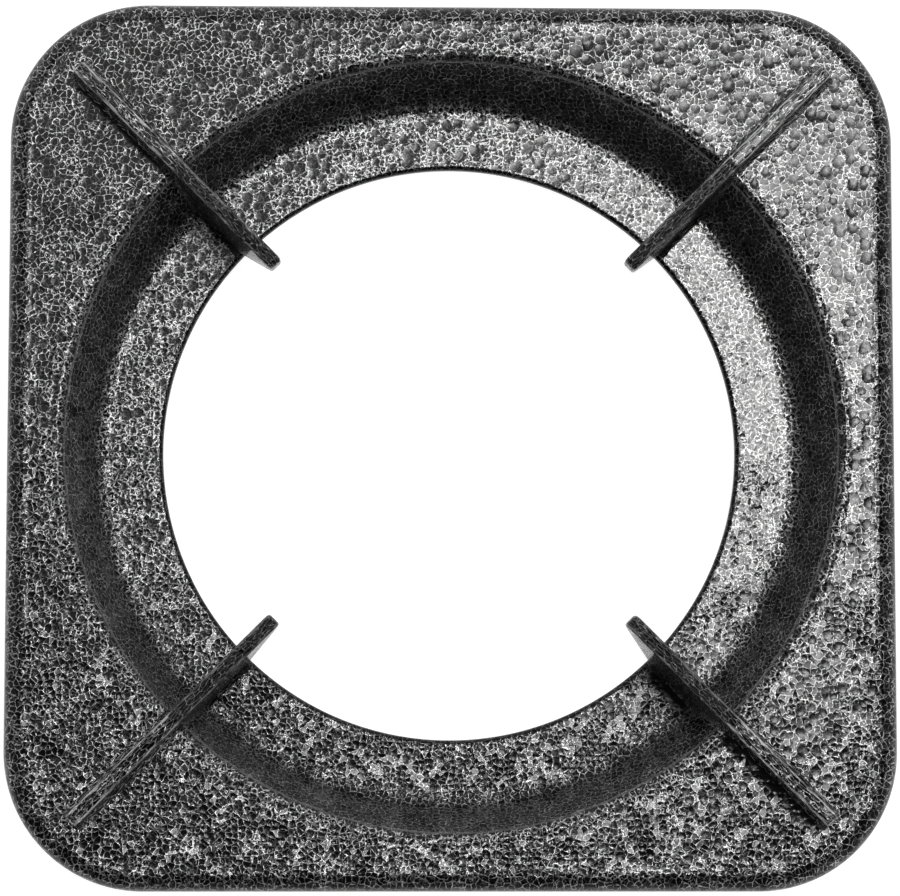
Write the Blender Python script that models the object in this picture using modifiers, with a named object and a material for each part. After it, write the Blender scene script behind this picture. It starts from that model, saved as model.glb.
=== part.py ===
"""Cast wok ring: a square plate with a sunk round dish, a wide centre hole and four upright ribs.

Metres, +Z up. The origin is on the flat underside of the dish, on the axis of the centre hole.
The whole ring is one casting, so it is one object: the plate, the dish and the ribs are joined.
"""

import math

import bmesh
import bpy
from mathutils import Matrix, Vector

# Square plate and the flange that is turned down round it
PLATE_SIDE = 0.300
PLATE_CORNER_RADIUS = 0.047
PLATE_THICKNESS = 0.005
PLATE_EDGE_RADIUS = 0.006
FLANGE_DROP = 0.022
FLANGE_THICKNESS = 0.005

# Round dish sunk into the plate
DISH_MOUTH_DIAMETER = 0.2665
DISH_DEPTH = 0.0425
DISH_WALL = 0.005
DISH_FLOOR = 0.0035
DISH_DRAFT = math.radians(10.4)
SHOULDER_RADIUS = 0.003
FOOT_RADIUS = 0.003

# Hole in the floor of the dish
HOLE_DIAMETER = 0.200
HOLE_EDGE_RADIUS = 0.0015

# Ribs that stand on the plate and reach in over the hole
RIB_COUNT = 4
RIB_FIRST_ANGLE = math.radians(45)
RIB_THICKNESS = 0.005
RIB_HEIGHT = 0.009
RIB_OVERHANG = 0.0162
RIB_CORNER_MARGIN = 0.0137
RIB_NOSE_DEPTH = 0.008
RIB_END_RADIUS = 0.0025
RIB_EDGE_RADIUS = 0.0012

# Facets of the round stretches
TURN_STEPS = 96
CORNER_SEGMENTS = 10
EDGE_SEGMENTS = 4
FILLET_SEGMENTS = 6
RIB_EDGE_SEGMENTS = 2

# Coating
COATING_COLOUR = (0.085, 0.085, 0.085, 1.0)
COATING_ROUGHNESS = 0.3
COATING_METALLIC = 0.9

# How far a cutter runs past the face that it cuts
CUT_PAST = 0.010
# How far the crest of the shoulder's arc stands over the plate, so that it meets the plate at a clear angle
SHOULDER_CREST = 0.0001

# Largest fillets at the foot of the wall and at the hole, as shares of the width of the floor between them
FOOT_SHARE = 0.6
HOLE_EDGE_SHARE = 0.3

# Heights over the underside of the dish
FLOOR_TOP = DISH_FLOOR
PLATE_TOP = FLOOR_TOP + DISH_DEPTH
RIB_TOP = PLATE_TOP + RIB_HEIGHT
FLANGE_BOTTOM = PLATE_TOP - FLANGE_DROP

# Radii from the axis
HOLE_RADIUS = HOLE_DIAMETER / 2
CORNER_REACH = (PLATE_SIDE / 2 - PLATE_CORNER_RADIUS) * math.sqrt(2) + PLATE_CORNER_RADIUS
RIB_TIP = HOLE_RADIUS - RIB_OVERHANG
RIB_END = CORNER_REACH - RIB_CORNER_MARGIN


def clear_scene():
    for obj in list(bpy.data.objects):
        bpy.data.objects.remove(obj, do_unlink=True)


def new_collection(name, parent):
    collection = bpy.data.collections.new(name)
    parent.children.link(collection)
    return collection


def new_object(name, mesh, collection):
    obj = bpy.data.objects.new(name, mesh)
    collection.objects.link(obj)
    return obj


def helper(name, mesh, collection):
    """A shape that another object is joined with or cut by."""
    obj = new_object(name, mesh, collection)
    obj.hide_render = True
    obj.display_type = "WIRE"
    return obj


def coating_material():
    material = bpy.data.materials.new("hammered_coating")
    material.use_nodes = True
    shader = material.node_tree.nodes["Principled BSDF"]
    shader.inputs["Base Color"].default_value = COATING_COLOUR
    shader.inputs["Roughness"].default_value = COATING_ROUGHNESS
    shader.inputs["Metallic"].default_value = COATING_METALLIC
    return material


def rounded_path(corners):
    """Points of a path through corners given as (radius from axis, height, fillet radius)."""
    path = []
    for index, (r, z, fillet) in enumerate(corners):
        corner = Vector((r, z))
        if fillet <= 0 or index in (0, len(corners) - 1):
            path.append(corner)
            continue
        back = (Vector(corners[index - 1][:2]) - corner).normalized()
        ahead = (Vector(corners[index + 1][:2]) - corner).normalized()
        half = back.angle(ahead) / 2
        centre = corner + (back + ahead).normalized() * (fillet / math.sin(half))
        start = corner + back * (fillet / math.tan(half)) - centre
        end = corner + ahead * (fillet / math.tan(half)) - centre
        sweep = start.angle_signed(end)
        for step in range(FILLET_SEGMENTS + 1):
            turn = Matrix.Rotation(-sweep * step / FILLET_SEGMENTS, 2)
            path.append(centre + turn @ start)
    return path


def wall_radius(height, depth):
    """Radius of the dish wall at a height: depth 0 is its inner face and 1 its outer face."""
    tangent = SHOULDER_RADIUS * math.tan((math.pi / 2 - DISH_DRAFT) / 2)
    corner = DISH_MOUTH_DIAMETER / 2 - tangent
    inner = corner - (PLATE_TOP - height) * math.tan(DISH_DRAFT)
    return inner + depth * DISH_WALL / math.cos(DISH_DRAFT)


def floor_fillets():
    """Fillets at the foot of the wall and at the hole, which a narrow floor limits so that they never meet."""
    width = wall_radius(FLOOR_TOP, 0) - HOLE_RADIUS
    return min(FOOT_RADIUS, FOOT_SHARE * width), min(HOLE_EDGE_RADIUS, HOLE_EDGE_SHARE * width)


def plate_mesh(name, side, corner_radius, bottom, top, edge_radius):
    """A square block with rounded corners, and with its top edge rounded where a radius is given."""
    mesh = bpy.data.meshes.new(name)
    bm = bmesh.new()
    middle = Matrix.Translation((0, 0, (top + bottom) / 2))
    bmesh.ops.create_cube(bm, size=1, matrix=middle @ Matrix.Diagonal((side, side, top - bottom, 1)))
    upright = [e for e in bm.edges if abs(e.verts[0].co.z - e.verts[1].co.z) > (top - bottom) / 2]
    bmesh.ops.bevel(
        bm,
        geom=upright,
        offset=corner_radius,
        segments=CORNER_SEGMENTS,
        profile=0.5,
        affect="EDGES",
    )
    if edge_radius > 0:
        upper = [e for e in bm.edges if all(v.co.z > (top + bottom) / 2 for v in e.verts)]
        bmesh.ops.bevel(
            bm,
            geom=upper,
            offset=edge_radius,
            segments=EDGE_SEGMENTS,
            profile=0.5,
            affect="EDGES",
        )
    bm.to_mesh(mesh)
    bm.free()
    return mesh


def turned_shape(name, outline, collection):
    """A solid turned round the axis from (radius, height) points that start and end on the axis."""
    mesh = bpy.data.meshes.new(name)
    points = [(r, 0, z) for r, z in outline]
    mesh.from_pydata(points, [(i, i + 1) for i in range(len(points) - 1)], [])
    obj = helper(name, mesh, collection)
    obj.rotation_euler.z = math.pi / TURN_STEPS
    screw = obj.modifiers.new("turn", "SCREW")
    screw.axis = "Z"
    screw.steps = TURN_STEPS
    screw.render_steps = TURN_STEPS
    screw.use_merge_vertices = True
    screw.merge_threshold = 0.0001
    return obj


def dish_body(collection):
    """Outer form of the dish, as a full disc that reaches up into the plate."""
    top = PLATE_TOP - PLATE_THICKNESS / 2
    return turned_shape(
        "dish_body",
        rounded_path(
            [
                (0, top, 0),
                (wall_radius(top, 1), top, 0),
                (wall_radius(0, 1), 0, FOOT_RADIUS + DISH_WALL),
                (0, 0, 0),
            ]
        ),
        collection,
    )


def dish_hollow(collection):
    """Inside of the dish with its mouth, its floor and the centre hole, run past both faces."""
    crest = PLATE_TOP + SHOULDER_CREST
    mouth = DISH_MOUTH_DIAMETER / 2 + SHOULDER_CREST
    foot_fillet, hole_fillet = floor_fillets()
    return turned_shape(
        "dish_hollow",
        rounded_path(
            [
                (0, PLATE_TOP + CUT_PAST, 0),
                (mouth + CUT_PAST, PLATE_TOP + CUT_PAST, 0),
                (mouth + CUT_PAST, crest, 0),
                (wall_radius(crest, 0), crest, SHOULDER_RADIUS),
                (wall_radius(FLOOR_TOP, 0), FLOOR_TOP, foot_fillet),
                (HOLE_RADIUS, FLOOR_TOP, hole_fillet),
                (HOLE_RADIUS, -CUT_PAST, 0),
                (0, -CUT_PAST, 0),
            ]
        ),
        collection,
    )


def rib_outline():
    """Side view of a rib, and how many of its first points are on its free edge.

    The free edge runs from the rim of the hole over the nose and the level top to the outer end.
    The rest runs back inside the metal, halfway through the plate, the wall and the floor.
    """
    floor_middle = FLOOR_TOP - DISH_FLOOR / 2
    plate_middle = PLATE_TOP - PLATE_THICKNESS / 2
    foot_fillet, hole_fillet = floor_fillets()
    root = HOLE_RADIUS + hole_fillet
    sunk_foot = wall_radius(floor_middle, 0.5)
    free = rounded_path(
        [
            (root, floor_middle, 0),
            (RIB_TIP, RIB_TOP - RIB_NOSE_DEPTH, RIB_END_RADIUS),
            (RIB_TIP, RIB_TOP, RIB_END_RADIUS),
            (RIB_END, RIB_TOP, RIB_END_RADIUS),
            (RIB_END, plate_middle, 0),
        ]
    )
    sunk = rounded_path(
        [
            (RIB_END, plate_middle, 0),
            (wall_radius(plate_middle, 0.5), plate_middle, SHOULDER_RADIUS - DISH_WALL / 2),
            (sunk_foot, floor_middle, min(foot_fillet + DISH_WALL / 2, sunk_foot - root)),
            (root, floor_middle, 0),
        ]
    )
    return free + sunk[1:-1], len(free)


def rib_mesh():
    """One rib in the XZ plane, with its free edge rounded along both sides."""
    outline, free_count = rib_outline()
    mesh = bpy.data.meshes.new("rib")
    bm = bmesh.new()
    near = [bm.verts.new((r, -RIB_THICKNESS / 2, z)) for r, z in outline]
    far = [bm.verts.new((r, RIB_THICKNESS / 2, z)) for r, z in outline]
    bm.faces.new(near)
    bm.faces.new(reversed(far))
    count = len(outline)
    for i in range(count):
        j = (i + 1) % count
        bm.faces.new((near[j], near[i], far[i], far[j]))
    rim = [bm.edges.get((side[i], side[i + 1])) for side in (near, far) for i in range(free_count - 1)]
    bmesh.ops.bevel(
        bm,
        geom=rim,
        offset=RIB_EDGE_RADIUS,
        segments=RIB_EDGE_SEGMENTS,
        profile=0.5,
        affect="EDGES",
    )
    bmesh.ops.recalc_face_normals(bm, faces=bm.faces)
    bm.to_mesh(mesh)
    bm.free()
    return mesh


def ribs(collection):
    mesh = rib_mesh()
    for i in range(RIB_COUNT):
        obj = helper(f"rib_{i + 1}", mesh, collection)
        obj.rotation_euler.z = RIB_FIRST_ANGLE + 2 * math.pi * i / RIB_COUNT
    return collection


def combine(obj, other, operation):
    """Joins an object with another or cuts it by another, which can be a collection of them."""
    boolean = obj.modifiers.new(f"{operation.lower()}_{other.name}", "BOOLEAN")
    boolean.operation = operation
    boolean.solver = "EXACT"
    if isinstance(other, bpy.types.Collection):
        boolean.operand_type = "COLLECTION"
        boolean.collection = other
    else:
        boolean.object = other


def build():
    clear_scene()
    scene = bpy.context.scene.collection
    casting = new_collection("wok_ring", scene)
    helpers = new_collection("wok_ring_helpers", scene)
    helpers.hide_render = True

    outer = plate_mesh(
        "wok_ring_casting",
        PLATE_SIDE,
        PLATE_CORNER_RADIUS,
        FLANGE_BOTTOM,
        PLATE_TOP,
        PLATE_EDGE_RADIUS,
    )
    inner = plate_mesh(
        "plate_underside",
        PLATE_SIDE - 2 * FLANGE_THICKNESS,
        PLATE_CORNER_RADIUS - FLANGE_THICKNESS,
        FLANGE_BOTTOM - CUT_PAST,
        PLATE_TOP - PLATE_THICKNESS,
        0,
    )
    ring = new_object("wok_ring_casting", outer, casting)
    underside = helper("plate_underside", inner, helpers)

    combine(ring, underside, "DIFFERENCE")
    combine(ring, dish_body(helpers), "UNION")
    combine(ring, dish_hollow(helpers), "DIFFERENCE")
    combine(ring, ribs(new_collection("wok_ring_ribs", helpers)), "UNION")

    ring.data.materials.append(coating_material())
    ring.data.shade_smooth()
    ring.data.set_sharp_from_angle(angle=math.radians(30))


build()
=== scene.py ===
"""Looks of the cast wok ring: its hammered skin and ribs, the floor under it, the light and the camera.

Metres, +Z up. The origin is on the flat underside of the dish, on the axis of the centre hole.
"""

import math

import bpy
import numpy as np
from mathutils import Matrix, Vector


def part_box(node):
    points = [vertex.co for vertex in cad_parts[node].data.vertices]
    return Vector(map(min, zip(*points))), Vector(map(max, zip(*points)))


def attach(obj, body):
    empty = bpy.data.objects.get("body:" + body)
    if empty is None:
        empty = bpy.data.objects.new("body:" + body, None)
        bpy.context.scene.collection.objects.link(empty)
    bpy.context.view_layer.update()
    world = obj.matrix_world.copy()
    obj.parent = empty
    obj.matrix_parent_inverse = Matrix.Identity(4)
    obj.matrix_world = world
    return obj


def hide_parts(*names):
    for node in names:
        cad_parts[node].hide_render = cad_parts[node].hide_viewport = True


NODE = "wok_ring_casting"
BODY = "root"
SLOT = "hammered_coating"
MM = 0.001
SAME_HEIGHT = 1e-6

# Plate and flange
PLATE_CORNER_RADIUS = 0.047
PLATE_THICKNESS = 0.005
PLATE_EDGE_RADIUS = 0.006
FLANGE_DROP = 0.022
FLANGE_THICKNESS = 0.005
FLANGE_EDGE_RADIUS = 0.001
UNDERSIDE_FILLET = 0.002

# Dish
DISH_MOUTH_RADIUS = 0.13325
DISH_DEPTH = 0.0425
DISH_WALL = 0.005
DISH_FLOOR = 0.0035
DISH_DRAFT = math.radians(10.4)
SHOULDER_RADIUS = 0.003
FOOT_RADIUS = 0.003
HOLE_RADIUS = 0.100
HOLE_EDGE_RADIUS = 0.0015
HOLE_CHAMFER = 0.0006

# Ribs
RIB_COUNT = 4
RIB_FIRST_ANGLE = math.radians(45)
RIB_THICKNESS = 0.005
RIB_TIP = 0.0838
RIB_CORNER_MARGIN = 0.0137
RIB_NOSE_DEPTH = 0.008
RIB_END_RADIUS = 0.0025
RIB_EDGE_RADIUS = 0.0011
RIB_FOOT_FILLET = 0.002
RIB_END_FILLET = 0.0018
RIB_SUNK = 0.0005

# Steps of the skin's grid: columns round the axis, and rows in the order of the section
COLUMNS = 1300
HOLE_FACE_ROWS = 5
RIM_ROWS = 5
RIM_ROW = HOLE_FACE_ROWS + RIM_ROWS
FLOOR_ROWS = 26
FOOT_ROWS = 9
WALL_ROWS = 31
SHOULDER_ROWS = 9
PLATE_ROWS = 61
EDGE_ROWS = 10
FLANGE_ROWS = 14
LIP_ROWS = 2
FLANGE_BACK_ROWS = 5
FILLET_ROWS = 3
PLATE_BACK_ROWS = 6
WALL_BACK_ROWS = 8
FOOT_BACK_ROWS = 7
FLOOR_BACK_ROWS = 4

# Camera, fitted to the photograph's outline, hole, shoulder and rib ends
CAMERA_PLACE = Vector((-0.0252, -0.0877, 1.1186))
CAMERA_TILT = math.radians(4.59)
CAMERA_PAN = math.radians(-1.30)
CAMERA_ROLL = math.radians(0.17)
CAMERA_LENS = 128.0
CAMERA_SENSOR = 36.0

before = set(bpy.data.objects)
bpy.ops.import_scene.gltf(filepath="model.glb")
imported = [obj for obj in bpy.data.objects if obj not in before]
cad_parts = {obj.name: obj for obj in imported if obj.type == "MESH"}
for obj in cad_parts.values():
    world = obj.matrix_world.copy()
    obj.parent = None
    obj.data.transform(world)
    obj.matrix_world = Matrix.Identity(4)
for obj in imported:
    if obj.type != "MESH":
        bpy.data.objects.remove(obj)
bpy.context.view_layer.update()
NODE_TOP_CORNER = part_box(NODE)[1]

PLATE_HALF = NODE_TOP_CORNER.x
RIB_TOP = NODE_TOP_CORNER.z
PLATE_TOP = DISH_FLOOR + DISH_DEPTH
FLANGE_BOTTOM = PLATE_TOP - FLANGE_DROP
DISH_FOOT = DISH_MOUTH_RADIUS - SHOULDER_RADIUS - DISH_DEPTH * math.tan(DISH_DRAFT)
CORNER_REACH = (PLATE_HALF - PLATE_CORNER_RADIUS) * math.sqrt(2) + PLATE_CORNER_RADIUS
RIB_END = CORNER_REACH - RIB_CORNER_MARGIN


def wall_radius(height, depth=0.0):
    """Radius of the dish wall at a height: depth is how far inside the metal, square to the inner face."""
    tangent = SHOULDER_RADIUS * math.tan((math.pi / 2 - DISH_DRAFT) / 2)
    corner = DISH_MOUTH_RADIUS - tangent
    return corner - (PLATE_TOP - height) * math.tan(DISH_DRAFT) + depth / math.cos(DISH_DRAFT)


def outline_radius(angles, inset):
    """Distance from the axis to the plate's rounded square, moved in by inset, along each angle."""
    half = PLATE_HALF - inset
    corner = PLATE_CORNER_RADIUS - inset
    turn = np.abs((angles + math.pi / 4) % (math.pi / 2) - math.pi / 4)
    centre = half - corner
    along = centre * (np.cos(turn) + np.sin(turn))
    rounded = along + np.sqrt(np.maximum(along**2 - 2 * centre**2 + corner**2, 0))
    return np.where(half * np.tan(turn) <= centre, half / np.cos(turn), rounded)


def steps(start, end, count):
    """Count places from start to end, without start itself."""
    return np.linspace(start, end, count + 1)[1:]


def arc(centre, radius, start, end, count):
    """(radius from axis, height) along an arc in the section, angles in degrees, without its start."""
    turns = np.radians(steps(start, end, count))
    return [(centre[0] + radius * math.cos(t), centre[1] + radius * math.sin(t)) for t in turns]


def dish_rows():
    """Section of the dish from the hole's lower edge to the top of the wall, as (radius, height)."""
    draft = math.degrees(DISH_DRAFT)
    foot_height = DISH_FLOOR + FOOT_RADIUS
    foot = (wall_radius(foot_height, -FOOT_RADIUS), foot_height)
    shoulder = (DISH_MOUTH_RADIUS, PLATE_TOP - SHOULDER_RADIUS)
    top = arc(shoulder, SHOULDER_RADIUS, 180, 180 - draft, 1)[0]
    rim = (HOLE_RADIUS + HOLE_EDGE_RADIUS, DISH_FLOOR - HOLE_EDGE_RADIUS)
    rows = [(HOLE_RADIUS, HOLE_CHAMFER)]
    rows += [(HOLE_RADIUS, z) for z in steps(HOLE_CHAMFER, rim[1], HOLE_FACE_ROWS)]
    rows += arc(rim, HOLE_EDGE_RADIUS, 180, 90, RIM_ROWS)
    rows += [(r, DISH_FLOOR) for r in steps(rim[0], foot[0], FLOOR_ROWS)]
    rows += arc(foot, FOOT_RADIUS, -90, -draft, FOOT_ROWS)
    start = Vector(rows[-1])
    rows += [tuple(start.lerp(Vector(top), t)) for t in steps(0, 1, WALL_ROWS)]
    return rows


def skin_rows(angles):
    """All rows of the skin as (radii of every column, height), and the first row of each piece."""
    rows = [(np.full_like(angles, r), z) for r, z in dish_rows()]
    firsts = {"dish": 0, "plate": len(rows) - 1}
    draft = math.degrees(DISH_DRAFT)
    shoulder = (DISH_MOUTH_RADIUS, PLATE_TOP - SHOULDER_RADIUS)
    for r, z in arc(shoulder, SHOULDER_RADIUS, 180 - draft, 90, SHOULDER_ROWS):
        rows.append((np.full_like(angles, r), z))
    edge_start = outline_radius(angles, PLATE_EDGE_RADIUS)
    for t in steps(0, 1, PLATE_ROWS):
        rows.append((DISH_MOUTH_RADIUS * (1 - t) + edge_start * t, PLATE_TOP))
    firsts["flange"] = len(rows) - 1

    def along_outline(section):
        rows.extend((outline_radius(angles, inset), z) for inset, z in section)

    edge = (PLATE_EDGE_RADIUS, PLATE_TOP - PLATE_EDGE_RADIUS)
    along_outline(arc(edge, PLATE_EDGE_RADIUS, 90, 180, EDGE_ROWS))
    lip = (FLANGE_EDGE_RADIUS, FLANGE_BOTTOM + FLANGE_EDGE_RADIUS)
    along_outline((0, z) for z in steps(edge[1], lip[1], FLANGE_ROWS))
    along_outline(arc(lip, FLANGE_EDGE_RADIUS, 180, 270, LIP_ROWS))
    inner_lip = (FLANGE_THICKNESS - FLANGE_EDGE_RADIUS, lip[1])
    along_outline([(inner_lip[0], FLANGE_BOTTOM)])
    along_outline(arc(inner_lip, FLANGE_EDGE_RADIUS, -90, 0, LIP_ROWS))
    under = PLATE_TOP - PLATE_THICKNESS
    nook = (FLANGE_THICKNESS + UNDERSIDE_FILLET, under - UNDERSIDE_FILLET)
    along_outline((FLANGE_THICKNESS, z) for z in steps(inner_lip[1], nook[1], FLANGE_BACK_ROWS))
    firsts["underside"] = len(rows) - 1
    along_outline(arc(nook, UNDERSIDE_FILLET, 180, 90, FILLET_ROWS))

    outer = rows[-1][0]
    corner = (
        wall_radius(under - UNDERSIDE_FILLET, DISH_WALL + UNDERSIDE_FILLET),
        under - UNDERSIDE_FILLET,
    )
    for t in steps(0, 1, PLATE_BACK_ROWS):
        rows.append((outer * (1 - t) + corner[0] * t, under))
    turned = arc(corner, UNDERSIDE_FILLET, 90, 180 - draft, FILLET_ROWS)
    foot_radius = FOOT_RADIUS + DISH_WALL
    foot = (wall_radius(foot_radius, DISH_WALL - foot_radius), foot_radius)
    foot_arc = arc(foot, foot_radius, -draft, -90, FOOT_BACK_ROWS)
    start = Vector(turned[-1])
    end = Vector((foot[0] + foot_radius * math.cos(DISH_DRAFT), foot[1] - foot_radius * math.sin(DISH_DRAFT)))
    turned += [tuple(start.lerp(end, t)) for t in steps(0, 1, WALL_BACK_ROWS)]
    turned += foot_arc
    turned += [(r, 0) for r in steps(foot[0], HOLE_RADIUS + HOLE_CHAMFER, FLOOR_BACK_ROWS)]
    rows += [(np.full_like(angles, r), z) for r, z in turned]
    return rows, firsts


def grid_faces(row_count, column_count, close_rows=False, close_columns=False):
    """Quads of a grid, whose rows and whose columns can each close in a ring."""
    row = np.arange(row_count if close_rows else row_count - 1)[:, None]
    column = np.arange(column_count if close_columns else column_count - 1)[None, :]
    next_row = (row + 1) % row_count
    next_column = (column + 1) % column_count
    corners = [
        row * column_count + column,
        next_row * column_count + column,
        next_row * column_count + next_column,
        row * column_count + next_column,
    ]
    return np.stack(corners, axis=-1).reshape(-1, 4)


def mesh_from(name, points, quads):
    """A smooth mesh from arrays of points and of quads."""
    mesh = bpy.data.meshes.new(name)
    mesh.vertices.add(len(points))
    mesh.vertices.foreach_set("co", np.ascontiguousarray(points, np.float32).ravel())
    mesh.loops.add(quads.size)
    mesh.loops.foreach_set("vertex_index", np.ascontiguousarray(quads, np.int32).ravel())
    mesh.polygons.add(len(quads))
    mesh.polygons.foreach_set("loop_start", np.arange(0, quads.size, 4, dtype=np.int32))
    mesh.update(calc_edges=True)
    mesh.validate()
    mesh.shade_smooth()
    return mesh


def give_attribute(mesh, name, values):
    """Stores a number for each point of a mesh, or a place where there are three numbers for each."""
    is_place = values.size == 3 * len(mesh.vertices)
    layer = mesh.attributes.new(name, "FLOAT_VECTOR" if is_place else "FLOAT", "POINT")
    numbers = np.ascontiguousarray(values, np.float32).ravel()
    layer.data.foreach_set("vector" if is_place else "value", numbers)


def new_object(name, data):
    obj = bpy.data.objects.new(name, data)
    bpy.context.scene.collection.objects.link(obj)
    return obj


def smooth_step(values, low, high):
    """0 where values are low, going smoothly to 1 where they are high."""
    t = np.clip((values - low) / (high - low), 0, 1)
    return t * t * (3 - 2 * t)


def fade_out(values, low, high):
    """1 where values are low, going smoothly to 0 where they are high."""
    return 1 - smooth_step(values, low, high)


class Formula:
    """Adds nodes to a shader or geometry tree, so that a pattern reads as a formula."""

    def __init__(self, tree):
        self.tree = tree

    def node(self, kind, settings=None, inputs=None):
        node = self.tree.nodes.new(kind)
        for key, value in (settings or {}).items():
            setattr(node, key, value)
        for key, value in (inputs or {}).items():
            self.put(node.inputs[key], value)
        return node

    def put(self, socket, value):
        if isinstance(value, bpy.types.NodeSocket):
            self.tree.links.new(value, socket)
        else:
            socket.default_value = value

    def math(self, operation, *values, clamp=False):
        node = self.node("ShaderNodeMath", {"operation": operation, "use_clamp": clamp})
        for socket, value in zip(node.inputs, values):
            self.put(socket, value)
        return node.outputs[0]

    def product(self, value, *others):
        for other in others:
            value = self.math("MULTIPLY", value, other)
        return value

    def total(self, value, *others):
        for other in others:
            value = self.math("ADD", value, other)
        return value

    def vector(self, operation, *values):
        node = self.node("ShaderNodeVectorMath", {"operation": operation})
        for socket, value in zip(node.inputs, values):
            self.put(socket, value)
        return node.outputs[0]

    def scale(self, vector, factor):
        node = self.node("ShaderNodeVectorMath", {"operation": "SCALE"}, {"Scale": factor})
        self.put(node.inputs[0], vector)
        return node.outputs[0]

    def from_middle(self, colour):
        """A random colour as a vector that points any way from the middle."""
        return self.vector("SUBTRACT", colour, (0.5, 0.5, 0.5))

    def ramp(self, value, low, high, start=0.0, end=1.0):
        """Goes smoothly from start, where value is low, to end, where it is high."""
        node = self.node(
            "ShaderNodeMapRange",
            {"interpolation_type": "SMOOTHSTEP"},
            {"Value": value, "From Min": low, "From Max": high, "To Min": start, "To Max": end},
        )
        return node.outputs["Result"]

    def noise(self, vector, scale, detail=1.0, output=0):
        node = self.node("ShaderNodeTexNoise", None, {"Vector": vector, "Scale": scale, "Detail": detail})
        return node.outputs[output]

    def patches(self, vector, scale, detail, *levels):
        """Noise that goes smoothly from one share to another, with levels as in ramp."""
        return self.ramp(self.noise(vector, scale, detail), *levels)

    def shifted(self, vector, at, size, detail, reach):
        """A vector shifted by noise of a size at a place."""
        noise = self.noise(at, 1 / size, detail, "Color")
        return self.vector("ADD", vector, self.scale(self.from_middle(noise), reach))

    def cells(self, vector, scale, feature="F1"):
        settings = {"feature": feature, "voronoi_dimensions": "2D"}
        return self.node("ShaderNodeTexVoronoi", settings, {"Vector": vector, "Scale": scale}).outputs


# Hammered relief, in millimetres
# Shifts that bend the pits and the borders of the cells: size, detail and reach
WARP = (2.2, 2.0, 1.2)
WIGGLE = (0.9, 1.0, 0.7)
# Pits: some places have none, and they are smaller and deeper where the marks are fine
PIT_SPACING = 4.7
PIT_RADIUS = 2.6
LEAST_RADIUS = 0.01
SMALLEST_PIT = 0.45
FLAT_SHARE = 0.2
PIT_DEPTH = (0.06, 0.14)
PIT_DEPTH_CHANCES = (0.2, 1.0)
FINE_PITS = 0.6
FINE_PIT_DEEPER = 1.7
# Patches that shift the fine and the coarse marks: size and amount
PATCH_SIZE = 22.0
PATCH_AMOUNT = 1.6
# The sizes of pits between which they go over into the mesh, and how much of their depth does
MESH_PITS = (0.4, 0.7)
MESH_SHARE = 0.7
# Cells: their sizes in the large and the fine net, their least and greatest depth, and how they tilt where
# the marks are fine and where they are coarse
CELL_SIZE = 2.1
FINE_SIZE = 1.15
CELL_DEPTH = (0.03, 0.34)
CELL_DEPTH_CHANCES = (0.05, 0.7)
CELL_COARSENESS = 0.8
CELL_TILT = (0.2, 0.05)
# Slow waves, fine grain and the runs of the enamel
WAVE_SIZE = 12.0
WAVE_DEPTH = 0.2
GRAIN_SIZE = 0.9
GRAIN_DETAIL = 2.0
GRAIN_DEPTH = 0.012
RUN_SIZE = 1.7
RUN_DEPTH = 1.1


def relief(f, chart, coarse):
    """Pits of the coating at a place on the unrolled surface, in mm: how deep they are and where they end."""
    at = f.scale(chart, 1 / MM)
    warped = f.shifted(at, at, *WARP)
    pits = f.cells(warped, 1 / PIT_SPACING)
    patch = f.math("SUBTRACT", f.noise(at, 1 / PATCH_SIZE), 0.5)
    coarse = f.math("ADD", coarse, f.product(patch, PATCH_AMOUNT), clamp=True)
    chance, second_chance = f.node("ShaderNodeSeparateXYZ", None, {0: pits["Color"]}).outputs[:2]
    size = f.math("DIVIDE", f.math("SUBTRACT", chance, FLAT_SHARE), 1 - FLAT_SHARE)
    size = f.total(f.product(size, 1 - SMALLEST_PIT), SMALLEST_PIT)
    size = f.product(size, f.math("GREATER_THAN", chance, FLAT_SHARE))
    size = f.product(size, f.ramp(coarse, 0.0, 1.0, FINE_PITS, 1.0))
    radius = f.math("MAXIMUM", f.product(size, PIT_RADIUS), LEAST_RADIUS)
    away = f.product(pits["Distance"], PIT_SPACING)
    share = f.math("DIVIDE", away, radius)
    bowl = f.math("SUBTRACT", 1.0, f.product(share, share), clamp=True)
    deepest = f.ramp(second_chance, *PIT_DEPTH_CHANCES, *PIT_DEPTH)
    deepest = f.product(deepest, f.ramp(coarse, 0.0, 1.0, FINE_PIT_DEEPER, 1.0))
    return {
        "at": at,
        "warped": warped,
        "coarse": coarse,
        "depth": f.product(bowl, size, deepest),
        "in_mesh": f.ramp(size, *MESH_PITS, 0.0, MESH_SHARE),
        "from_rim": f.math("SUBTRACT", away, radius),
    }


def relief_tree():
    """Geometry nodes that press the pits into a mesh, as far as its attribute calm lets them."""
    tree = bpy.data.node_groups.new("hammered_relief", "GeometryNodeTree")
    tree.interface.new_socket("Geometry", in_out="INPUT", socket_type="NodeSocketGeometry")
    tree.interface.new_socket("Geometry", in_out="OUTPUT", socket_type="NodeSocketGeometry")
    f = Formula(tree)

    def attribute(name, data_type="FLOAT"):
        kind = "GeometryNodeInputNamedAttribute"
        return f.node(kind, {"data_type": data_type}, {"Name": name}).outputs[0]

    source = f.node("NodeGroupInput")
    normal = f.node("GeometryNodeInputNormal").outputs[0]
    pits = relief(f, attribute("chart", "FLOAT_VECTOR"), attribute("coarse"))
    lively = f.math("SUBTRACT", 1.0, attribute("calm"))
    depth = f.product(pits["depth"], pits["in_mesh"], -MM, lively)
    moved = f.node("GeometryNodeSetPosition", None, {"Offset": f.scale(normal, depth)})
    target = f.node("NodeGroupOutput")
    tree.links.new(source.outputs[0], moved.inputs["Geometry"])
    tree.links.new(moved.outputs[0], target.inputs[0])
    return tree


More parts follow.
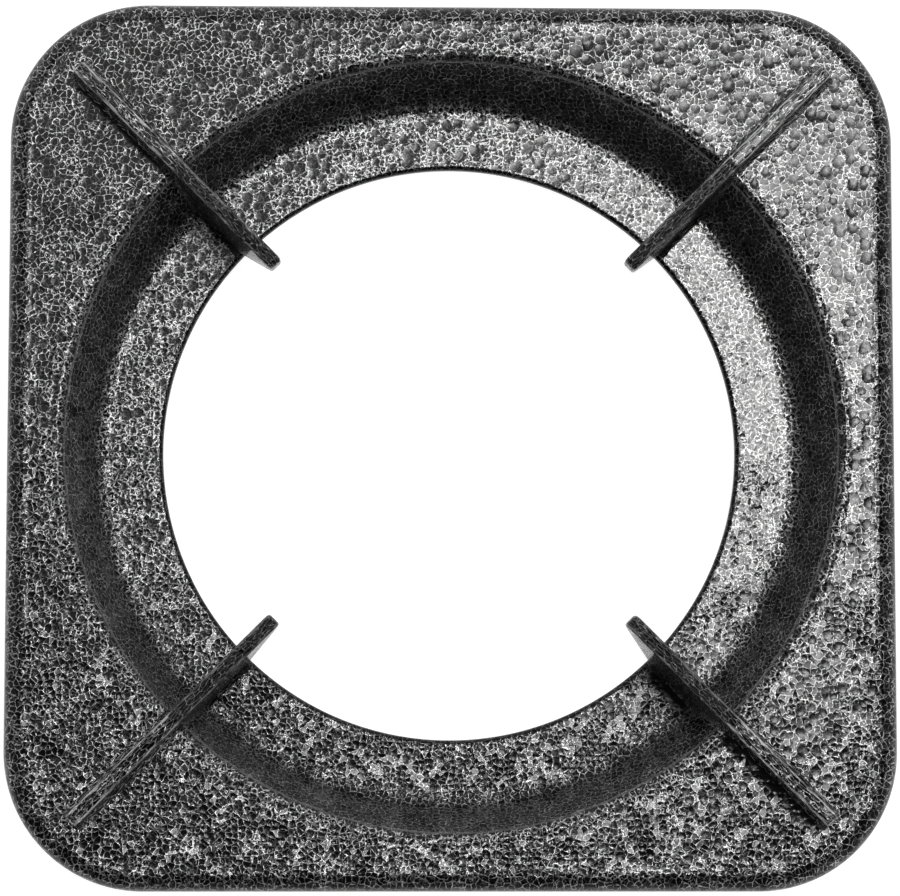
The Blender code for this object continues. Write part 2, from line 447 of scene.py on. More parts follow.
# Coating
ENAMEL_DARK = 0.002
ENAMEL_LIGHT = 0.008
ENAMEL_ROUGHNESS = 0.13
SILVER = 0.84
SILVER_METALLIC = 0.9
WALL_METALLIC = 0.3
WALL_METALLIC_ZONE = (-0.3, 0.0)
SILVER_ROUGHNESS = 0.38
COATING_IOR = 1.4
# Widths in mm: half a vein's in the large and the fine net, the silver's on a pit's rim, and half the painted
# highlight's
VEIN_WIDTH = 0.16
FINE_WIDTH = 0.11
PIT_RIM_WIDTH = 0.16
HIGHLIGHT_WIDTH = 0.28
HIGHLIGHT_GREY = 0.8
# How the painted highlight line sways: frequency per mm, detail and reach in mm
HIGHLIGHT_SWAY = (0.3, 2.0, 0.8)
# How far from a pit's rim its bowl goes over into the cells, in mm, and how much silver is left in the bowl
PIT_MARGIN = (-0.6, 0.1)
PIT_SILVER = 0.22
# Patches in which the silver thins: frequency per mm, detail, two levels of the noise and the shares at them
PIT_RIM_PATCHES = (0.35, 1.0, 0.4, 0.55)
FINE_PATCHES = (1.0, 1.0, 0.44, 0.56)
VEIN_PATCHES = (0.9, 2.0, 0.36, 0.58, 0.2, 1.0)
HIGHLIGHT_PATCHES = (0.2, 2.0, 0.38, 0.6, 0.15, 1.0)
# Large patches in which the veins widen: frequency per mm and detail, what a silvery zone adds to them, and
# two levels of them with the shares of a vein's width, or of the fine net, at those levels
WIDE_PATCHES = (0.13, 3.0)
WIDE_SILVERY = 0.2
VEIN_WIDENING = (0.35, 0.7, 0.7, 1.4)
FINE_WIDENING = (0.4, 0.75, 0.8, 1.3)
FINE_SHOWING = (0.42, 0.58)
# How the painted highlight line fades where the enamel ran
HIGHLIGHT_IN_RUNS = (0.4, 1.0, 1.0, 0.35)


def coating_veins(f, pits, look):
    """0 to 1 where the silver shows: in a large and a fine net of veins, and on the rims of the pits."""
    at = pits["at"]
    wiggled = f.shifted(pits["warped"], at, *WIGGLE)
    wide = f.total(f.noise(at, *WIDE_PATCHES), f.product(look["silvery"], WIDE_SILVERY))

    def net(size, width, widening):
        """1 on the borders of cells of this size, where width is half a vein's width."""
        border = f.product(f.cells(wiggled, 1 / size, "DISTANCE_TO_EDGE")["Distance"], size)
        width = f.product(f.ramp(wide, *widening), width)
        return f.ramp(f.math("DIVIDE", border, width), 0.5, 1.0, 1.0, 0.0)

    large = net(CELL_SIZE, VEIN_WIDTH, VEIN_WIDENING)
    fine = net(FINE_SIZE, FINE_WIDTH, FINE_WIDENING)
    fine = f.product(fine, f.ramp(wide, *FINE_SHOWING), f.patches(at, *FINE_PATCHES))
    veins = f.product(f.math("MAXIMUM", large, fine), f.math("MAXIMUM", look["outside"], PIT_SILVER))
    rims = f.ramp(f.math("ABSOLUTE", pits["from_rim"]), 0.0, PIT_RIM_WIDTH, 1.0, 0.0)
    rims = f.product(rims, f.patches(at, *PIT_RIM_PATCHES), look["lively"])
    veins = f.product(f.math("MAXIMUM", veins, rims), f.patches(at, *VEIN_PATCHES))
    return f.product(veins, f.math("ADD", look["silvery"], 1.0, clamp=True))


def painted_highlight_line(f, at, look):
    """Grey of the painted highlight, a thin line for the glint along the dish's mouth and the ribs' free
    edges, fainter where the enamel ran.
    """
    frequency, detail, reach = HIGHLIGHT_SWAY
    sway = f.product(f.math("SUBTRACT", f.noise(at, frequency, detail), 0.5), reach)
    away = f.math("ABSOLUTE", f.total(f.product(look["from_highlight"], 1 / MM), sway))
    line = f.ramp(away, 0.5 * HIGHLIGHT_WIDTH, HIGHLIGHT_WIDTH, HIGHLIGHT_GREY, 0.0)
    return f.product(line, f.patches(at, *HIGHLIGHT_PATCHES), f.ramp(look["runs"], *HIGHLIGHT_IN_RUNS))


def coating_height(f, pits, cells, chance, look):
    """Height of the coating in mm over the mesh, which has the larger pits pressed in already."""
    at = pits["at"]
    pit = f.product(pits["depth"], f.math("SUBTRACT", pits["in_mesh"], 1.0), look["lively"])
    deeper = f.math("SUBTRACT", chance, f.product(pits["coarse"], CELL_COARSENESS))
    cell_depth = f.ramp(deeper, *CELL_DEPTH_CHANCES, *CELL_DEPTH)
    hollow = f.product(cells["Distance"], cells["Distance"], look["outside"], cell_depth)
    waves = f.product(f.noise(at, 1 / WAVE_SIZE), WAVE_DEPTH)
    grain = f.product(f.noise(at, 1 / GRAIN_SIZE, GRAIN_DETAIL), GRAIN_DEPTH)
    drips = f.product(f.noise(at, 1 / RUN_SIZE), f.product(look["runs"], RUN_DEPTH))
    lean = f.vector("MULTIPLY", f.from_middle(cells["Color"]), (1, 1, 0))
    away = f.vector("SUBTRACT", pits["warped"], cells["Position"])
    tilt = f.node("ShaderNodeVectorMath", {"operation": "DOT_PRODUCT"}, {0: lean, 1: away}).outputs["Value"]
    tilt = f.product(tilt, look["outside"], f.ramp(pits["coarse"], 0.0, 1.0, *CELL_TILT))
    return f.total(f.total(pit, hollow), f.total(waves, grain), f.total(drips, tilt))


def coating_material():
    """Glossy black enamel in small hollow cells, parted by a net of fine silver veins."""
    material = bpy.data.materials.new(SLOT)
    material.use_nodes = True
    f = Formula(material.node_tree)
    shader = material.node_tree.nodes["Principled BSDF"]

    def attribute(name, output="Fac"):
        return f.node("ShaderNodeAttribute", {"attribute_name": name}).outputs[output]

    pits = relief(f, attribute("chart", "Vector"), attribute("coarse"))
    look = {name: attribute(name) for name in ("silvery", "runs", "from_highlight")}
    look["lively"] = f.math("SUBTRACT", 1.0, attribute("calm"))
    inside = f.product(f.ramp(pits["from_rim"], *PIT_MARGIN, 1.0, 0.0), look["lively"])
    look["outside"] = f.math("SUBTRACT", 1.0, inside)
    cells = f.cells(pits["warped"], 1 / CELL_SIZE)
    chance = f.node("ShaderNodeSeparateXYZ", None, {0: cells["Color"]}).outputs[1]
    veins = coating_veins(f, pits, look)

    enamel = f.ramp(chance, 0.0, 1.0, ENAMEL_DARK, ENAMEL_LIGHT)
    # The painted highlight line adds its grey here.
    grey = f.total(enamel, f.product(veins, SILVER), painted_highlight_line(f, pits["at"], look))
    colour = f.node("ShaderNodeCombineColor", None, {0: grey, 1: grey, 2: grey}).outputs[0]
    f.put(shader.inputs["Base Color"], colour)
    metallic = f.ramp(look["silvery"], *WALL_METALLIC_ZONE, WALL_METALLIC, SILVER_METALLIC)
    f.put(shader.inputs["Metallic"], f.product(veins, metallic))
    rougher = f.product(veins, SILVER_ROUGHNESS - ENAMEL_ROUGHNESS)
    f.put(shader.inputs["Roughness"], f.total(rougher, ENAMEL_ROUGHNESS))
    shader.inputs["IOR"].default_value = COATING_IOR
    height = coating_height(f, pits, cells, chance, look)
    bump = f.node("ShaderNodeBump", None, {"Height": height, "Distance": MM, "Strength": 1.0})
    f.put(shader.inputs["Normal"], bump.outputs[0])
    return material


# Painted shadow beside two ribs, where the enamel also pools and swells: its width at the right front and at
# the left back, the pool's height, how far from the ribs' ends, over the floor and from the hole it fades,
# and how much of it smooths the marks. Less silver in it paints the shadow cast to the lower left of these
# ribs.
POOL_SHADOW_WIDTHS = (0.0052, 0.003)
POOL_HEIGHT = 0.0005
POOL_SHADOW_END = (-0.006, 0.001)
POOL_SHADOW_RISE = (0.0001, 0.002)
POOL_SHADOW_FROM_HOLE = (0.0015, 0.004)
POOL_SHADOW_SMOOTH = (0.02, 0.25)

# Where the hammered marks are fine and where they are coarse, along a direction over the plate
COARSE_WAY = (0.6, 1.4)
FINE_UP_TO = -0.20
COARSE_FROM = 0.14

# Zones of the skin: the distances, depths or numbers of rows between which they start or fade
WALL_START = (0.0003, 0.003)
SHOULDER_START = (0.0003, 0.002)
EDGE_START = (0.0005, 0.004)
RIB_FADE = (0.001, 0.0035)
HOLE_FADE = (0.001, 0.003)
LEDGE_FADE = (1, 3)
NOOK_FADE = (2, 4)
RIGHT_START = (0.055, 0.1)
RIGHT_LEAN = 0.35
BACK_START = (-0.08, 0.02)
MOUTH_STRIP = (0.001, 0.006)
MOUTH_STRIP_DROP = 0.0006
HOLE_STRIP = (0.0015, 0.005)
FOOT_STRIP = (0.004, 0.012)

# How calm and how silvery the zones are, where 1 is wholly smooth or has twice the silver. The second share
# of the floor is what it gains towards the right.
WALL_CALM = 0.45
SHOULDER_CALM = 0.7
EDGE_CALM = 0.8
FLOOR_CALM = (0.2, 0.4)
HOLE_SILVERY = 0.8
FLOOR_SILVERY = 1.4
FOOT_SILVERY = 0.5
WALL_PLAIN = 0.25
EDGE_PLAIN = 0.5
SHOULDER_PLAIN = 0.8
HOLE_FACE_PLAIN = 0.7

# Runs of the enamel at the foot of the wall, at the mouth and at the plate's edge: how strong, and how wide
FOOT_RUNS = 0.4
FOOT_RUNS_START = (-0.005, -0.001)
FOOT_RUNS_RISE = (0.002, 0.006)
TOP_RUNS = 0.2
MOUTH_RUNS_FADE = (0.0, 0.002)
EDGE_RUNS_FADE = (0.0, 0.003)
EDGE_RUNS_DROP = 0.001

# For each piece of the skin: the row whose places stay true when it is unrolled, and which way it unrolls
UNROLLED = {"dish": (RIM_ROW, 1), "plate": (-1, 1), "flange": (0, 1), "underside": (-2, -1)}
HEIGHT_SHARE = 0.45


def rib_distance(points):
    """How far points lie from the nearest rib's side, in the plan, along its length only."""
    across = np.abs(np.abs(points[..., 0]) - np.abs(points[..., 1])) / math.sqrt(2) - RIB_THICKNESS / 2
    along = (np.abs(points[..., 0]) + np.abs(points[..., 1])) / math.sqrt(2)
    past = np.maximum(along - RIB_END, 0)
    return np.hypot(np.maximum(across, 0), past)


def shadow_beside_ribs(points):
    """0 to 1 in the painted shadow on the lower left sides of the right front and the left back rib, where
    enamel also swells.
    """
    fade = fade_out(np.hypot(points[..., 0], points[..., 1]) - RIB_END, *POOL_SHADOW_END)
    lower_left = -(points[..., 0] + points[..., 1]) / math.sqrt(2) - RIB_THICKNESS / 2
    share = np.clip(1 - lower_left / np.where(points[..., 0] > 0, *POOL_SHADOW_WIDTHS), 0, 1)
    opposite = points[..., 0] * points[..., 1] < 0
    return share * opposite * (lower_left > -RIB_THICKNESS) * fade


def coarseness(points):
    """0 where the hammered marks are fine, at the left front, to 1 at the right back."""
    place = COARSE_WAY[0] * points[..., 0] + COARSE_WAY[1] * points[..., 1]
    return np.clip((place - FINE_UP_TO) / (COARSE_FROM - FINE_UP_TO), 0, 1)


class Skin:
    """Grid of the smooth skin, the zones on it and the values that its look follows."""

    def __init__(self):
        angles = np.arange(COLUMNS) * 2 * math.pi / COLUMNS
        rows, self.firsts = skin_rows(angles)
        self.radii = np.array([r for r, z in rows])
        self.heights = np.array([z for r, z in rows])[:, None] * np.ones_like(angles)[None, :]
        places = [self.radii * np.cos(angles), self.radii * np.sin(angles), self.heights]
        self.points = np.stack(places, axis=-1)
        self.over_floor = self.heights - DISH_FLOOR
        self.under_plate = PLATE_TOP - self.heights
        self.from_hole = self.radii - HOLE_RADIUS
        self.from_mouth = self.radii - DISH_MOUTH_RADIUS
        self.from_edge = np.abs(self.radii - outline_radius(angles, PLATE_EDGE_RADIUS)[None, :])

        self.row = np.arange(len(rows))[:, None]
        self.ledge = self.firsts["plate"]
        self.in_dish = self.row <= self.ledge
        self.past_rim = self.row > RIM_ROW
        self.on_plate = (self.row > self.ledge) & (self.row <= self.firsts["flange"])
        self.wall = smooth_step(self.over_floor, *WALL_START) * self.in_dish
        self.shoulder = smooth_step(self.under_plate, *SHOULDER_START) * self.on_plate
        self.edge = smooth_step(self.under_plate, *EDGE_START) * (self.row > self.firsts["flange"])
        self.swell_and_shadow = self.pool_and_shadow()
        self.pool_shadow = smooth_step(self.swell_and_shadow, *POOL_SHADOW_SMOOTH)

    def pool_and_shadow(self):
        """0 to 1 in the painted shadow beside ribs, where enamel also swells, on the level plate and on the
        dish's floor.
        """
        level = self.on_plate & (self.under_plate < SAME_HEIGHT)
        low = fade_out(self.over_floor, *POOL_SHADOW_RISE) * smooth_step(self.from_hole, *POOL_SHADOW_FROM_HOLE)
        return shadow_beside_ribs(self.points) * np.maximum(level, low * self.past_rim * self.in_dish)

    def calm(self):
        """0 where the pits are pressed in fully, to 1 where the surface stays smooth."""
        near_rib = fade_out(rib_distance(self.points), *RIB_FADE)
        rightwards = smooth_step(self.points[..., 0] + RIGHT_LEAN * self.points[..., 1], *RIGHT_START)
        calm = self.pool_shadow
        for zone in (
            near_rib * self.past_rim * (self.row <= self.firsts["flange"]),
            fade_out(self.from_hole, *HOLE_FADE) * self.in_dish,
            fade_out(np.abs(self.row - self.ledge), *LEDGE_FADE),
            fade_out(np.abs(self.row - self.firsts["underside"]), *NOOK_FADE),
            self.wall * WALL_CALM,
            self.shoulder * SHOULDER_CALM,
            self.edge * EDGE_CALM,
            self.past_rim * self.in_dish * (FLOOR_CALM[0] + FLOOR_CALM[1] * rightwards),
        ):
            calm = np.maximum(calm, zone)
        return calm

    def silvery(self):
        """How much more silver there is than usual, or how much less where it is under 0. Part of it is
        painted light along the mouth and painted shadow beside two ribs.
        """
        # More silver in a strip along the mouth: denser veins there, and painted light for what the start of
        # the shoulder's rounding catches.
        mouth = fade_out(self.from_mouth, *MOUTH_STRIP) * self.on_plate * (1 - self.pool_shadow)
        mouth = mouth * (self.under_plate < MOUTH_STRIP_DROP)
        hole = fade_out(self.from_hole, *HOLE_STRIP) * self.past_rim * self.in_dish
        foot = self.wall * fade_out(self.over_floor, *FOOT_STRIP)
        backwards = smooth_step(self.points[..., 1], *BACK_START)
        floor = self.past_rim * self.in_dish * (1 - self.wall) * backwards
        more = mouth + hole * HOLE_SILVERY + floor * FLOOR_SILVERY + foot * FOOT_SILVERY
        edges = np.maximum(self.edge * EDGE_PLAIN, self.shoulder * SHOULDER_PLAIN)
        hole_face = self.row < RIM_ROW
        # Less silver beside the two ribs here is painted shadow.
        return more - self.wall * WALL_PLAIN - np.maximum(edges, self.pool_shadow) - hole_face * HOLE_FACE_PLAIN

    def from_highlight(self):
        """Distance from the painted highlight line along the dish's mouth, under 0 inside the dish."""
        across = self.radii - self.radii[self.ledge, 0]
        down = self.heights - self.heights[self.ledge, 0]
        return np.hypot(across, down) * np.sign(self.row - self.ledge)

    def runs(self):
        """0 to 1 where the enamel ran together: at the foot of the wall, the mouth and the plate's edge."""
        foot = smooth_step(self.radii - DISH_FOOT, *FOOT_RUNS_START) * self.in_dish
        foot = foot * fade_out(self.over_floor, *FOOT_RUNS_RISE)
        mouth = fade_out(self.from_mouth, *MOUTH_RUNS_FADE) * self.on_plate
        edge = fade_out(self.from_edge, *EDGE_RUNS_FADE) * (self.row > self.ledge)
        edge = edge * (self.under_plate < EDGE_RUNS_DROP)
        return np.maximum(foot * FOOT_RUNS, (mouth + edge) * TOP_RUNS) * (1 - self.pool_shadow)

    def values(self):
        """Every value that the coating's nodes read, by the name of its attribute."""
        return {
            "calm": self.calm(),
            "silvery": self.silvery(),
            "from_highlight": self.from_highlight(),
            "coarse": coarseness(self.points),
            "runs": self.runs(),
        }

    def swollen(self):
        """The grid's points with the pools of enamel on them."""
        return self.points + self.swell_and_shadow[..., None] ** 2 * np.array((0, 0, POOL_HEIGHT))

    def pieces(self):
        """Rows of each piece, the first and last of them shared with its neighbours."""
        starts = list(self.firsts.values())
        count = len(self.points)
        spans = zip(self.firsts, starts, starts[1:] + [count])
        return {name: np.arange(start, end + 1) % count for name, start, end in spans}


def unrolled(points, anchor, way):
    """Places of a piece's points when its section is unrolled into the plane of the anchor row.

    Heights count less than their size, because the coating ran down the steep faces and drew its cells out.
    """
    radius = np.hypot(points[..., 0], points[..., 1])
    run = np.linalg.norm(np.diff(points, axis=0) * (1, 1, HEIGHT_SHARE), axis=-1)
    length = np.concatenate([np.zeros_like(run[:1]), np.cumsum(run, axis=0)])
    reach = radius[anchor] + way * (length - length[anchor])
    return points * (1, 1, 0) * (reach / radius)[..., None]


def pressed(points, values, pieces, charts, tree):
    """The grid's points with the pits pressed in."""
    quads = grid_faces(*points.shape[:2], close_rows=True, close_columns=True)
    mesh = mesh_from("smooth_skin", points.reshape(-1, 3), quads)
    chart = np.zeros_like(points)
    for name, rows in pieces.items():
        chart[rows] = charts[name]
    give_attribute(mesh, "calm", values["calm"])
    give_attribute(mesh, "coarse", values["coarse"])
    give_attribute(mesh, "chart", chart)
    obj = new_object("smooth_skin", mesh)
    obj.modifiers.new("relief", "NODES").node_group = tree
    evaluated = obj.evaluated_get(bpy.context.evaluated_depsgraph_get())
    moved = np.empty(points.size, np.float32)
    evaluated.data.vertices.foreach_get("co", moved)
    bpy.data.objects.remove(obj)
    bpy.data.meshes.remove(mesh)
    return moved.reshape(points.shape).astype(float)


def grid_normals(points):
    """Normals of a grid that closes both ways, pointing out of the metal."""
    along_rows = np.roll(points, -1, axis=0) - np.roll(points, 1, axis=0)
    along_columns = np.roll(points, -1, axis=1) - np.roll(points, 1, axis=1)
    normals = np.cross(along_rows, along_columns)
    return normals / np.maximum(np.linalg.norm(normals, axis=-1, keepdims=True), 1e-12)


def finish_piece(obj, material):
    """Gives a piece its coating and ties it to the casting that it stands for."""
    obj.data.materials.append(material)
    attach(obj, BODY)
    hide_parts(NODE)


def make_skin(material, tree):
    """The whole skin of the casting, in pieces that part at the shoulder, the plate's edge and the hole."""
    skin = Skin()
    values = skin.values()
    pieces = skin.pieces()
    points = skin.swollen()
    charts = {name: unrolled(points[rows], *UNROLLED[name]) for name, rows in pieces.items()}
    points = pressed(points, values, pieces, charts, tree)
    normals = grid_normals(points)
    for name, rows in pieces.items():
        quads = grid_faces(len(rows), COLUMNS, close_columns=True)
        mesh = mesh_from(f"hammered_{name}", points[rows].reshape(-1, 3), quads)
        for key, value in values.items():
            give_attribute(mesh, key, value[rows])
        give_attribute(mesh, "chart", charts[name])
        mesh.normals_split_custom_set_from_vertices(normals[rows].reshape(-1, 3).tolist())
        finish_piece(new_object(f"hammered_{name}", mesh), material)


# Steps of a rib's grid: along its outline, in mm from its foot and from its free edge, between those two, and
# over its top. They are squeezed where the rib is lower than they need, with some room left between them.
RIB_STEP = 0.0009
RIB_FOOT_STEPS = (0, 0.25, 0.55, 0.95, 1.4, 2.0, 2.8)
RIB_EDGE_STEPS = (1.1, 0.75, 0.45, 0.22, 0.07, 0)
RIB_MIDDLE_STEPS = 11
RIB_CROWN_STEPS = 5
RIB_STEP_ROOM = 1.2
# How far past the hole's rim and before the rib's end the steps of its foot are drawn together
RIB_FAN_IN = 0.006
RIB_FAN_OUT = 0.004

# Coating of the ribs: how far inside the free edge the painted highlight line runs, how the pattern is
# stretched along and across a rib and shifted from one to the next, and the radii between which runs give way
# to cells
RIB_HIGHLIGHT_PLACE = 0.0003
RIB_STREAK = (0.6, 2.0)
RIB_PATTERN_SHIFT = 0.05
RIB_RUNS = (0.1295, 0.1335)
# Less silver on each rib's inner part, where the runs are: painted shade, darker than the part over the
# plate.
RIB_INNER_SHADE = 0.4
RIB_CALM = 0.6
RIB_COARSENESS = 0.75


def rounded_path(corners, spacing):
    """Points about spacing apart on a path through corners given as (along, height, fillet radius)."""
    path = [Vector(corners[0][:2])]
    for index, (x, z, fillet) in enumerate(corners[1:], start=1):
        corner = Vector((x, z))
        arc_points = [corner]
        if fillet > 0:
            back = (Vector(corners[index - 1][:2]) - corner).normalized()
            ahead = (Vector(corners[index + 1][:2]) - corner).normalized()
            half = back.angle(ahead) / 2
            centre = corner + (back + ahead).normalized() * (fillet / math.sin(half))
            start = corner + back * (fillet / math.tan(half)) - centre
            end = corner + ahead * (fillet / math.tan(half)) - centre
            sweep = start.angle_signed(end)
            count = max(4, math.ceil(abs(sweep) * fillet / spacing))
            arc_points = [centre + Matrix.Rotation(-sweep * s / count, 2) @ start for s in range(count + 1)]
        first = path[-1]
        count = max(1, math.ceil((arc_points[0] - first).length / spacing))
        path += [first.lerp(arc_points[0], s / count) for s in range(1, count + 1)]
        path += arc_points[1:]
    return np.array([tuple(p) for p in path])


def lengths_along(path):
    return np.concatenate([[0], np.cumsum(np.linalg.norm(np.diff(path, axis=0), axis=1))])


def distance_to_path(points, path):
    """Distance from each point to the nearest place on a path of straight pieces."""
    start = path[:-1]
    run = path[1:] - start
    from_start = points[:, None, :] - start[None]
    t = np.clip((from_start * run).sum(-1) / np.maximum((run**2).sum(-1), 1e-18), 0, 1)
    return np.linalg.norm(from_start - t[..., None] * run, axis=-1).min(axis=1)


def rib_paths():
    """Free edge of a rib and its foot in the metal, from the hole's rim to its outer end."""
    root = (HOLE_RADIUS + HOLE_EDGE_RADIUS, DISH_FLOOR - RIB_SUNK)
    plate = PLATE_TOP - RIB_SUNK
    floor = DISH_FLOOR - RIB_SUNK
    end = (RIB_END + RIB_FOOT_FILLET, plate)
    free = rounded_path(
        [
            (*root, 0),
            (RIB_TIP, RIB_TOP - RIB_NOSE_DEPTH, RIB_END_RADIUS),
            (RIB_TIP, RIB_TOP, RIB_END_RADIUS),
            (RIB_END, RIB_TOP, RIB_END_RADIUS),
            (RIB_END, plate, RIB_END_FILLET),
            (*end, 0),
        ],
        RIB_STEP,
    )
    foot = rounded_path(
        [
            (*root, 0),
            (wall_radius(floor, RIB_SUNK), floor, FOOT_RADIUS + RIB_SUNK),
            (wall_radius(plate, RIB_SUNK), plate, SHOULDER_RADIUS - RIB_SUNK),
            (*end, 0),
        ],
        RIB_STEP / 2,
    )
    return free, foot


def paired_foot(free, foot):
    """A place on the foot for each point of the free edge: the nose fans out from the hole's rim."""
    along_free = lengths_along(free)
    along_foot = lengths_along(foot)
    on_top = np.flatnonzero(free[:, 1] > RIB_TOP - SAME_HEIGHT)
    free_marks = [0.0]
    foot_marks = [0.0]
    for mark in (HOLE_RADIUS + RIB_FAN_IN, RIB_END - RIB_FAN_OUT):
        free_marks.append(np.interp(mark, free[on_top, 0], along_free[on_top]))
        foot_marks.append(np.interp(mark, foot[:, 0], along_foot))
    free_marks.append(along_free[-1])
    foot_marks.append(along_foot[-1])
    places = np.interp(along_free, free_marks, foot_marks)
    return np.stack([np.interp(places, along_foot, foot[:, k]) for k in (0, 1)], axis=-1)


def rib_side(free, foot):
    """Points of one side of a rib in its own plane: a row from foot to free edge at each step along it."""
    paired = paired_foot(free, foot)
    span = np.linalg.norm(free - paired, axis=1)
    foot_steps = np.array(RIB_FOOT_STEPS) * MM
    edge_steps = np.array(RIB_EDGE_STEPS) * MM
    middle = np.linspace(0, 1, RIB_MIDDLE_STEPS + 1)[1:-1]
    needed = foot_steps[-1] + edge_steps[0]
    squeeze = np.minimum(1, span / (needed * RIB_STEP_ROOM))[:, None]
    from_foot = foot_steps[None] * squeeze
    to_edge = span[:, None] - edge_steps[None] * squeeze
    between = from_foot[:, -1:] + (to_edge[:, :1] - from_foot[:, -1:]) * middle[None]
    places = np.concatenate([from_foot, between, to_edge], axis=1) / np.maximum(span, 1e-9)[:, None]
    return paired[:, None] + (free - paired)[:, None] * places[..., None]


def rounding(distance, radius):
    """How far a rounded corner's surface lies from the flat face, at a distance from the corner."""
    left = radius - np.clip(distance, 0, radius)
    return radius - np.sqrt(np.maximum(radius**2 - left**2, 0))


def rib_grid():
    """Points of one rib in the XZ plane as a grid, from one foot over the free edge to the other."""
    free, foot = rib_paths()
    side = rib_side(free, foot)
    flat = side.reshape(-1, 2)
    to_foot = distance_to_path(flat, foot).reshape(side.shape[:2])
    to_free = distance_to_path(flat, free).reshape(side.shape[:2])
    flare = rounding(to_foot - RIB_SUNK, RIB_FOOT_FILLET)
    turn = rounding(to_free, RIB_EDGE_RADIUS)
    half = RIB_THICKNESS / 2 + flare - turn
    one = np.stack([side[..., 0], -half, side[..., 1]], axis=-1)
    other = np.stack([side[..., 0], half, side[..., 1]], axis=-1)[:, ::-1]
    crown = np.linspace(0, 1, RIB_CROWN_STEPS + 1)[1:-1]
    top = one[:, -1:] * (1 - crown[None, :, None]) + other[:, :1] * crown[None, :, None]
    grid = np.concatenate([one, top, other], axis=1)

    inwards = -np.minimum(crown, 1 - crown) * 2 * (RIB_THICKNESS / 2 - RIB_EDGE_RADIUS)
    inwards = np.ones((len(grid), 1)) * inwards[None, :]
    from_highlight = np.concatenate([to_free, inwards, to_free[:, ::-1]], axis=1) - RIB_HIGHLIGHT_PLACE
    from_highlight = np.maximum(from_highlight, grid[..., 0] - RIB_END + 2 * RIB_HIGHLIGHT_PLACE)
    across = np.cumsum(np.linalg.norm(np.diff(grid, axis=1, prepend=grid[:, :1]), axis=-1), axis=1)
    across = across - across[:, grid.shape[1] // 2][:, None]
    along = lengths_along(free)[:, None] * np.ones(grid.shape[:2])
    chart = np.stack([along * RIB_STREAK[0], across * RIB_STREAK[1], np.zeros_like(across)], axis=-1)
    return grid, from_highlight, chart


def make_ribs(material):
    grid, from_highlight, chart = rib_grid()
    runs = fade_out(grid[..., 0], *RIB_RUNS)
    quads = grid_faces(*grid.shape[:2])
    for index in range(RIB_COUNT):
        turn = Matrix.Rotation(RIB_FIRST_ANGLE + 2 * math.pi * index / RIB_COUNT, 3, "Z")
        points = grid.reshape(-1, 3) @ np.array(turn).T
        mesh = mesh_from(f"rib_{index + 1}", points, quads)
        give_attribute(mesh, "calm", np.full(len(points), RIB_CALM))
        # Painted shade: less silver on the rib's inner part over the dish.
        give_attribute(mesh, "silvery", -RIB_INNER_SHADE * runs)
        give_attribute(mesh, "runs", runs)
        give_attribute(mesh, "from_highlight", from_highlight)
        give_attribute(mesh, "coarse", RIB_COARSENESS * coarseness(points) * (1 - runs.ravel()))
        give_attribute(mesh, "chart", chart + (0, RIB_PATTERN_SHIFT * (index + 1), 0))
        finish_piece(new_object(f"rib_{index + 1}", mesh), material)


# Floor
FLOOR_SIZE = 8.0
FLOOR_GREY = 0.4
FLOOR_GLOW = 0.96

# Light
SKY_LEVEL = 0.03
# Bands of light in the sky: level, how much it grows towards the back, and the heights between which it fades
HORIZON_BAND = (0.55, 0.6, 0.03, 0.16)
FILL_BAND = (0.29, 0.55, 0.66, 0.84)
# Side light: level, where it comes from, and the heights between which it fades
SIDE_LEVEL = 0.5
SIDE_WAY = (0.6, -0.8)
SIDE_HEIGHT = (0.3, 0.6)
# Soft lights overhead: centre towards +X and +Y, spread along and across the diagonal of X and Y, and level
LOBES = (
    (0.122, 0.110, 0.064, 0.052, 21.0),
    (-0.03, 0.34, 0.13, 0.15, 0.85),
    (-0.16, 0.14, 0.09, 0.07, 0.85),
)
LOBE_LOWEST = 0.05


def seen_directly(f):
    """1 for rays that show a surface as it is: from the camera, or by way of metal or glass."""
    rays = f.node("ShaderNodeLightPath").outputs
    seen = f.math("MAXIMUM", rays["Is Camera Ray"], rays["Is Glossy Ray"])
    return f.math("MAXIMUM", seen, rays["Is Transmission Ray"])


def make_floor():
    half = FLOOR_SIZE / 2
    corners = [(-half, -half, 0), (half, -half, 0), (half, half, 0), (-half, half, 0)]
    mesh = bpy.data.meshes.new("floor")
    mesh.from_pydata(corners, [], [(0, 1, 2, 3)])
    floor = new_object("floor", mesh)
    material = bpy.data.materials.new("floor_white")
    material.use_nodes = True
    f = Formula(material.node_tree)
    shader = material.node_tree.nodes["Principled BSDF"]
    shader.inputs["Base Color"].default_value = (FLOOR_GREY, FLOOR_GREY, FLOOR_GREY, 1)
    shader.inputs["Roughness"].default_value = 1.0
    shader.inputs["Specular IOR Level"].default_value = 0.0
    shader.inputs["Emission Color"].default_value = (1, 1, 1, 1)
    f.put(shader.inputs["Emission Strength"], f.product(seen_directly(f), FLOOR_GLOW))
    mesh.materials.append(material)


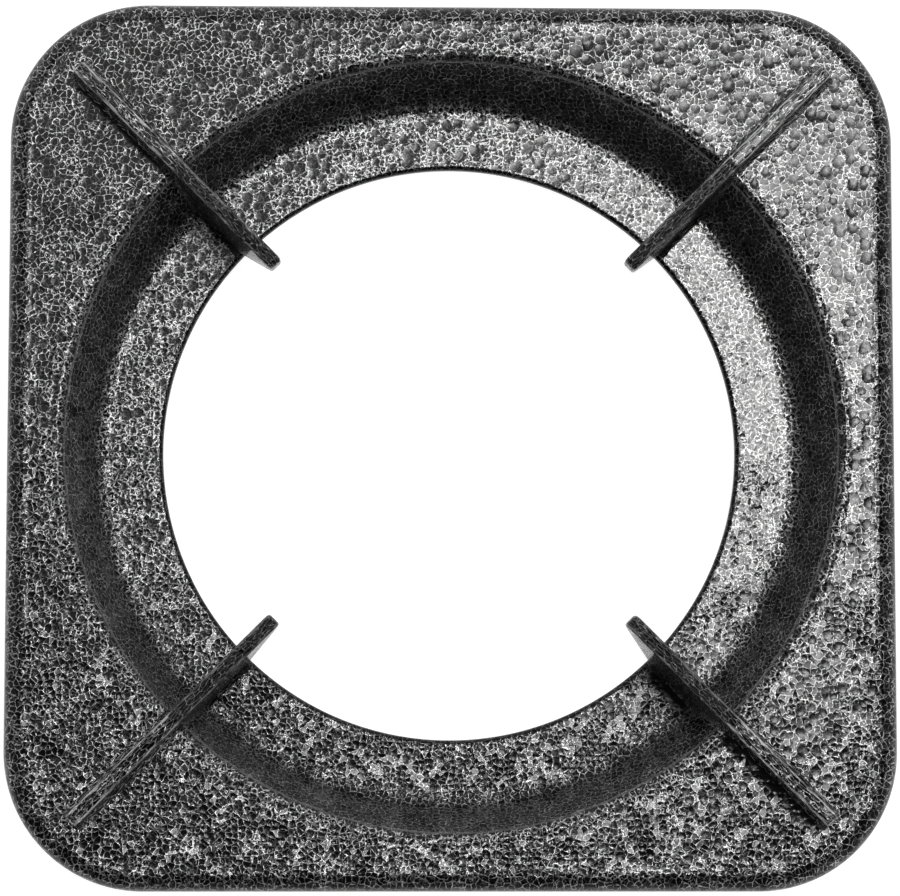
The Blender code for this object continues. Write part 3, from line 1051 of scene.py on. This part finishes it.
def make_world():
    """A dark sky with soft lights high up at the right and the back, a white horizon and a side light."""
    world = bpy.data.worlds.new("studio")
    world.use_nodes = True
    bpy.context.scene.world = world
    f = Formula(world.node_tree)
    direction = f.node("ShaderNodeTexCoord").outputs["Generated"]
    x, y, z = f.node("ShaderNodeSeparateXYZ", None, {0: direction}).outputs

    def band(level, growth, low, high):
        return f.product(f.total(f.product(y, growth), level), f.ramp(z, low, high, 1.0, 0.0))

    level = f.math("MAXIMUM", band(*HORIZON_BAND), band(*FILL_BAND))
    level = f.math("MAXIMUM", level, SKY_LEVEL)
    towards = f.total(f.product(x, SIDE_WAY[0]), f.product(y, SIDE_WAY[1]))
    side = f.product(f.math("POWER", f.math("MAXIMUM", towards, 0.0), 2.0), SIDE_LEVEL)
    level = f.total(level, f.product(side, f.ramp(z, *SIDE_HEIGHT, 1.0, 0.0)))
    over = f.math("MAXIMUM", z, LOBE_LOWEST)
    diagonal = f.math("DIVIDE", f.total(x, y), over)
    crosswise = f.math("DIVIDE", f.math("SUBTRACT", x, y), over)
    for along_x, along_y, long_spread, cross_spread, peak in LOBES:
        along = f.math("DIVIDE", f.math("SUBTRACT", diagonal, along_x + along_y), 2 * long_spread)
        across = f.math("DIVIDE", f.math("SUBTRACT", crosswise, along_x - along_y), 2 * cross_spread)
        away = f.total(f.product(along, along), f.product(across, across))
        lobe = f.math("EXPONENT", f.product(away, -1.0))
        level = f.total(level, f.product(lobe, peak))
    background = world.node_tree.nodes["Background"]
    background.inputs["Color"].default_value = (1, 1, 1, 1)
    f.put(background.inputs["Strength"], level)


def make_camera():
    data = bpy.data.cameras.new("camera")
    data.lens = CAMERA_LENS
    data.sensor_width = CAMERA_SENSOR
    data.sensor_fit = "HORIZONTAL"
    data.clip_start = 0.01
    camera = new_object("camera", data)
    camera.location = CAMERA_PLACE
    camera.rotation_mode = "ZYX"
    camera.rotation_euler = (CAMERA_TILT, CAMERA_PAN, CAMERA_ROLL)
    bpy.context.scene.camera = camera


make_camera()
coating = coating_material()
make_skin(coating, relief_tree())
make_ribs(coating)
make_floor()
make_world()
bpy.context.scene.view_settings.view_transform = "Standard"
